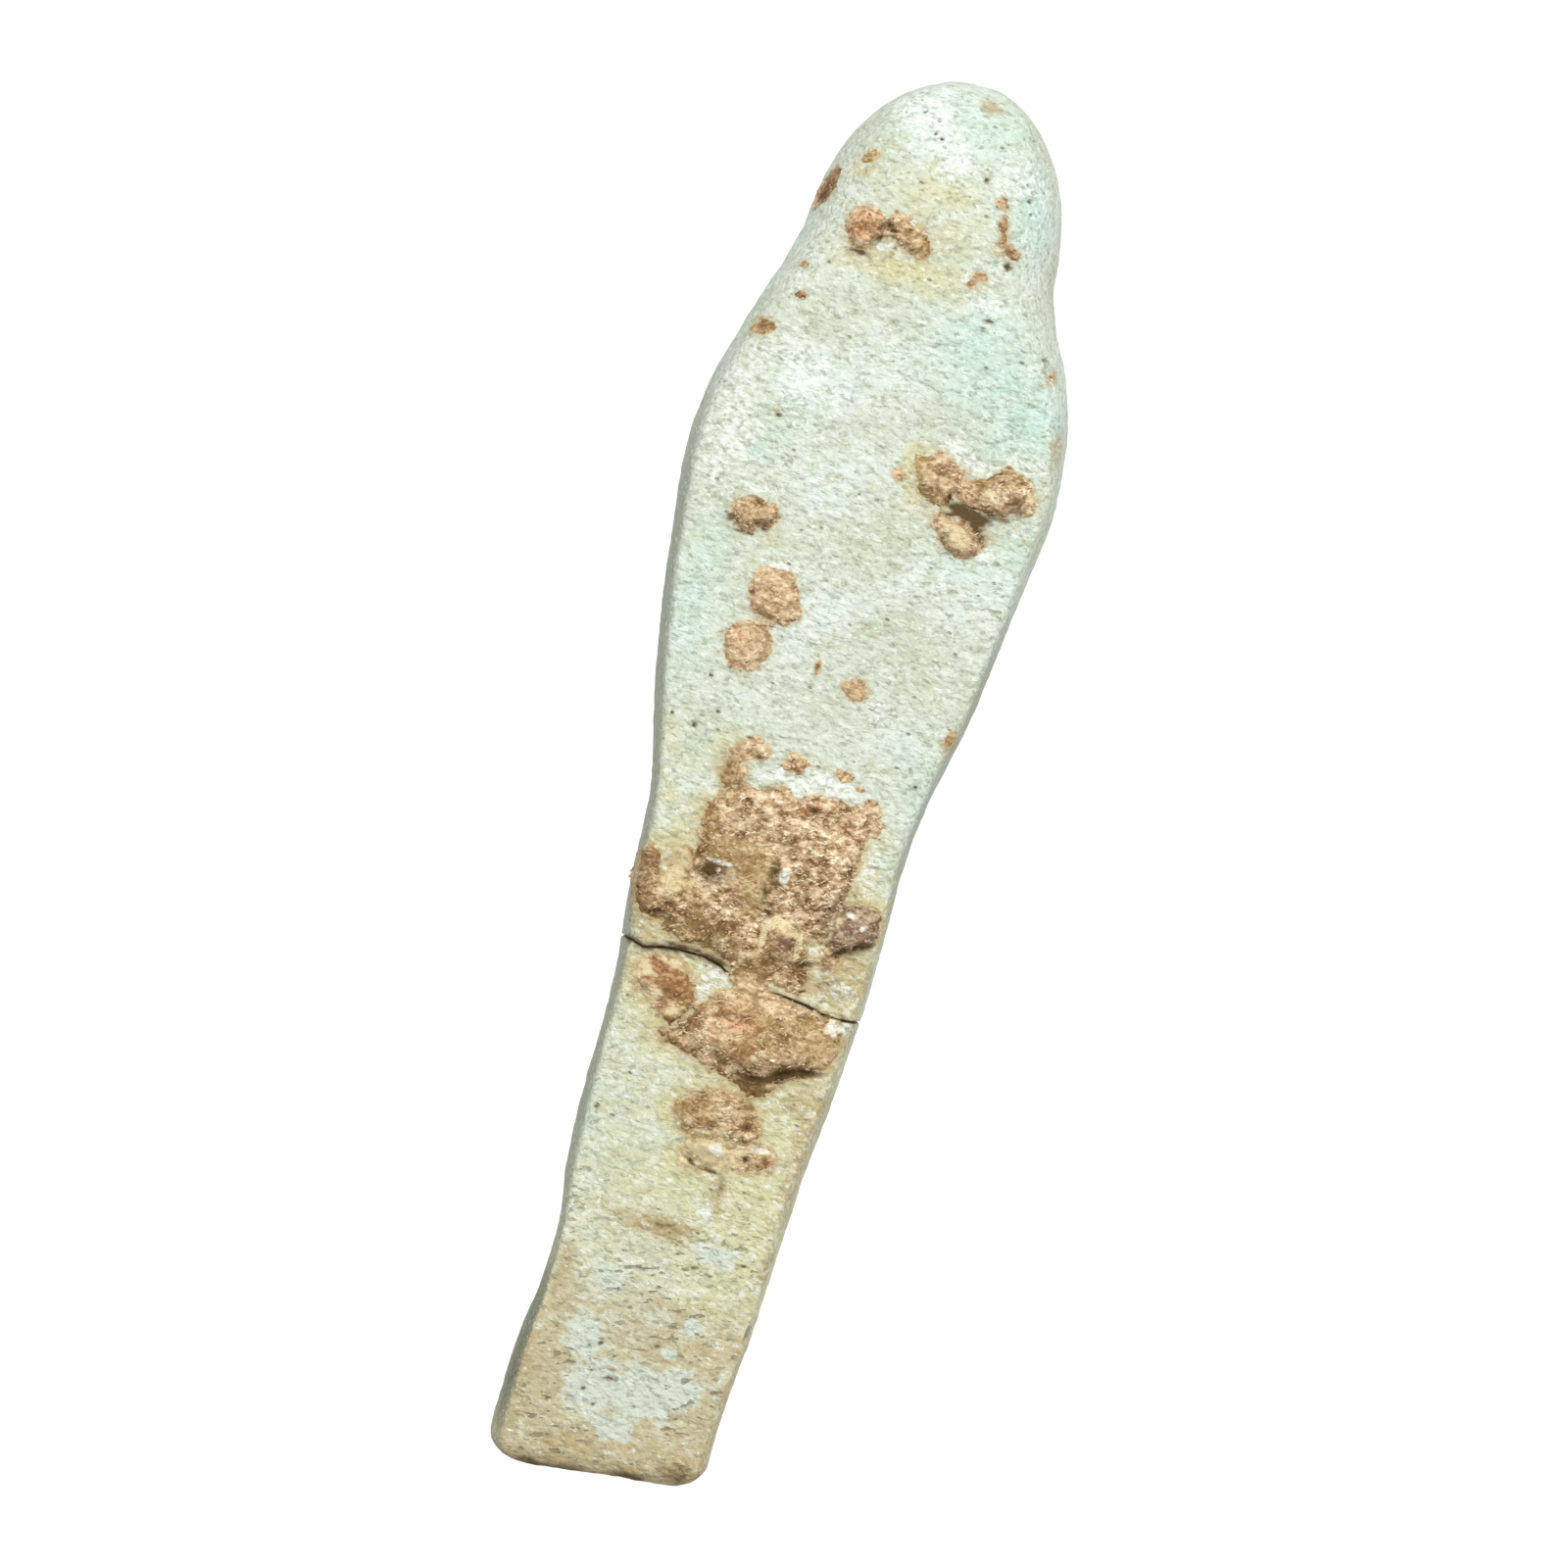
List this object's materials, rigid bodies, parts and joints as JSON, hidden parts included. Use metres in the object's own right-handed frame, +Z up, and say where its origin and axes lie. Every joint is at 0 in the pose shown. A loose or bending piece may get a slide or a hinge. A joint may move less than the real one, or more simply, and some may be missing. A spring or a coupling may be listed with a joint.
{
  "type": "ushabti figurine",
  "caption": "Small mummiform burial figure moulded in one piece of glazed paste, flat at the back, lying on its front, with a mended break and hardened earth on the back.",
  "frame": {"origin": "on the surface that the figure lies on, under the middle of its outer box", "axes": "+Y from the feet to the head along the figure, +Z up out of the flat back, +X to the right as the back is seen from above with the head away from the viewer"},
  "size_m": [0.0246, 0.0956, 0.0191],
  "materials": {
    "glazed_paste": "worn, satin pale green glaze over a tan paste, with patches of hardened brown earth"
  },
  "bodies": {
    "root": {"ushabti": "glazed_paste"}
  },
  "joints": []
}
